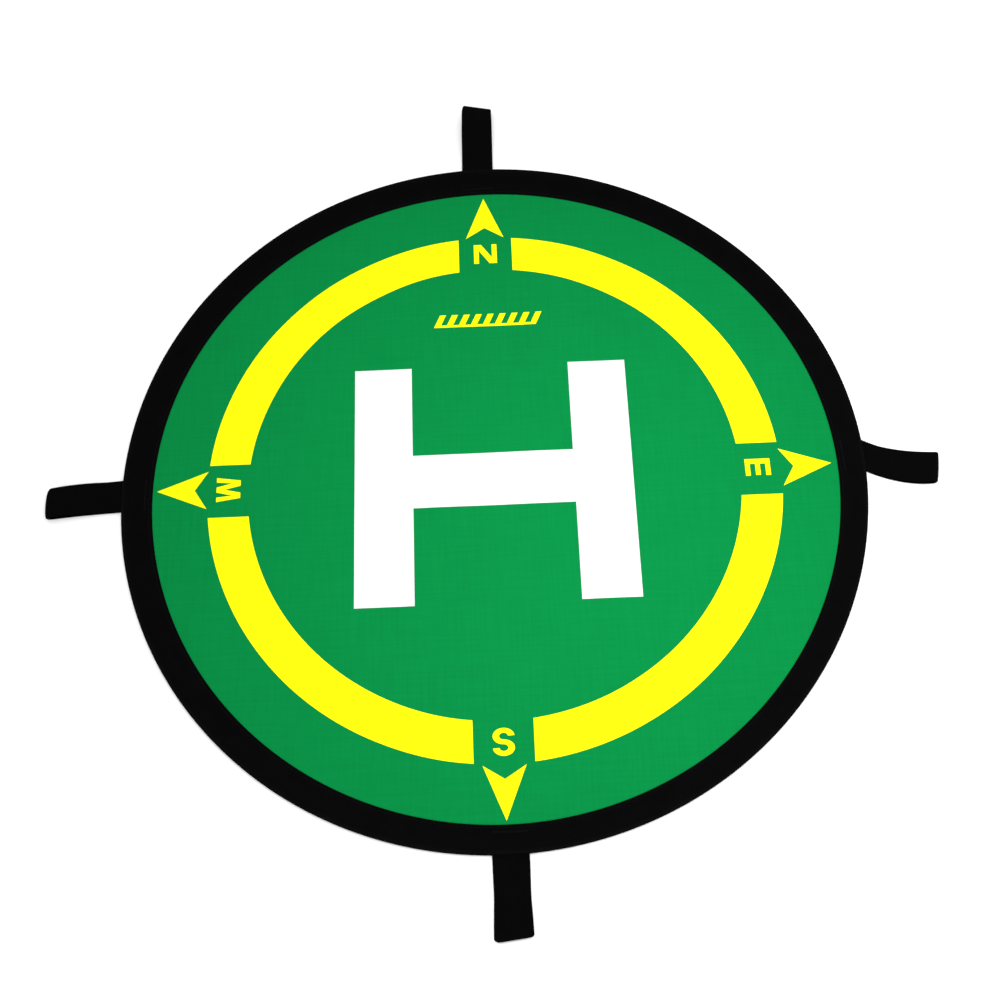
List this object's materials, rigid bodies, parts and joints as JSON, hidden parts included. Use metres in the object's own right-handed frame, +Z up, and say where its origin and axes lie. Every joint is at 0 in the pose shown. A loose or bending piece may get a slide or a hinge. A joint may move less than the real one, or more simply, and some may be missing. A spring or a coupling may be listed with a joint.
{
  "type": "folding drone landing pad",
  "caption": "Round folding landing pad for small drones: printed cloth disc on a sprung steel hoop in a bound rim, with a webbing peg loop at each compass point.",
  "frame": {"origin": "centre of the disc, on the ground that the pad lies on", "axes": "+Z up, away from the ground; +Y towards the north arrow of the print; +X towards its east arrow"},
  "size_m": [0.656, 0.663, 0.0087],
  "materials": {
    "top_cloth": "green plain-weave nylon, printed face",
    "bottom_cloth": "green plain-weave nylon, unprinted",
    "binding_tape": "black woven binding tape, matt",
    "webbing": "black ribbed webbing",
    "thread": "black polyester sewing thread",
    "yellow_ink": "yellow screen print",
    "white_ink": "white screen print",
    "spring_steel": "tempered spring steel strip",
    "ferrule_steel": "zinc plated, crimped"
  },
  "bodies": {
    "pad_nw": {"bottom_panel_nw": "bottom_cloth", "top_panel_nw": "top_cloth", "binding_nw": "binding_tape", "seam_thread_nw": "thread", "hoop_west_end": "spring_steel", "hoop_north_end": "spring_steel", "ferrule": "ferrule_steel", "print_h_nw": "white_ink", "print_arc_nw": "yellow_ink", "print_arc_ne_nw": "yellow_ink", "print_arc_sw_nw": "yellow_ink", "print_dashes": "yellow_ink", "print_arrow_n": "yellow_ink", "print_letter_n": "yellow_ink", "print_arrow_w": "yellow_ink", "print_letter_w": "yellow_ink", "loop_tail_n": "webbing", "bartack_n": "thread", "loop_tail_w": "webbing", "bartack_w": "thread"},
    "spine": {"bottom_panel_spine": "bottom_cloth", "top_panel_spine": "top_cloth", "binding_spine_ne": "binding_tape", "binding_spine_sw": "binding_tape", "seam_thread_spine_ne": "thread", "seam_thread_spine_sw": "thread", "hoop_spine_ne": "spring_steel", "hoop_spine_sw": "spring_steel", "print_h_spine": "white_ink", "print_arc_ne_spine": "yellow_ink", "print_arc_sw_spine": "yellow_ink"},
    "pad_se": {"bottom_panel_se": "bottom_cloth", "top_panel_se": "top_cloth", "binding_se": "binding_tape", "seam_thread_se": "thread", "hoop_se": "spring_steel", "print_h_se": "white_ink", "print_arc_se": "yellow_ink", "print_arc_ne_se": "yellow_ink", "print_arc_sw_se": "yellow_ink", "print_arrow_e": "yellow_ink", "print_letter_e": "yellow_ink", "print_arrow_s": "yellow_ink", "print_letter_s": "yellow_ink", "loop_tail_e": "webbing", "bartack_e": "thread", "loop_tail_s": "webbing", "bartack_s": "thread"},
    "loop_n": {"loop_n": "webbing"},
    "loop_w": {"loop_w": "webbing"},
    "loop_e": {"loop_e": "webbing"},
    "loop_s": {"loop_s": "webbing"}
  },
  "joints": [
    {"name": "fold_nw", "type": "hinge", "parent": "pad_nw", "child": "spine", "pos_m": [-0.03536, 0.03536, 0.0053], "axis": [-0.7071, -0.7071, 0], "range_deg": [0, 100], "stiffness_Nm_per_rad": 0.8},
    {"name": "fold_se", "type": "hinge", "parent": "spine", "child": "pad_se", "pos_m": [0.03536, -0.03536, 0.0053], "axis": [-0.7071, -0.7071, 0], "range_deg": [0, 100], "stiffness_Nm_per_rad": 0.8},
    {"name": "loop_n_flip", "type": "hinge", "parent": "pad_nw", "child": "loop_n", "pos_m": [-0.0034, 0.2769, 0.0045], "axis": [1, 0, 0], "range_deg": [0, 170]},
    {"name": "loop_w_flip", "type": "hinge", "parent": "pad_nw", "child": "loop_w", "pos_m": [-0.2769, -0.003, 0.0045], "axis": [0, 1, 0], "range_deg": [0, 170]},
    {"name": "loop_e_flip", "type": "hinge", "parent": "pad_se", "child": "loop_e", "pos_m": [0.2769, 0.003, 0.0045], "axis": [0, -1, 0], "range_deg": [0, 170]},
    {"name": "loop_s_flip", "type": "hinge", "parent": "pad_se", "child": "loop_s", "pos_m": [0.002, -0.2769, 0.0045], "axis": [-1, 0, 0], "range_deg": [0, 170]}
  ],
  "couplings": [
    {"joint": "fold_se", "follows": "fold_nw", "ratio": 1}
  ]
}
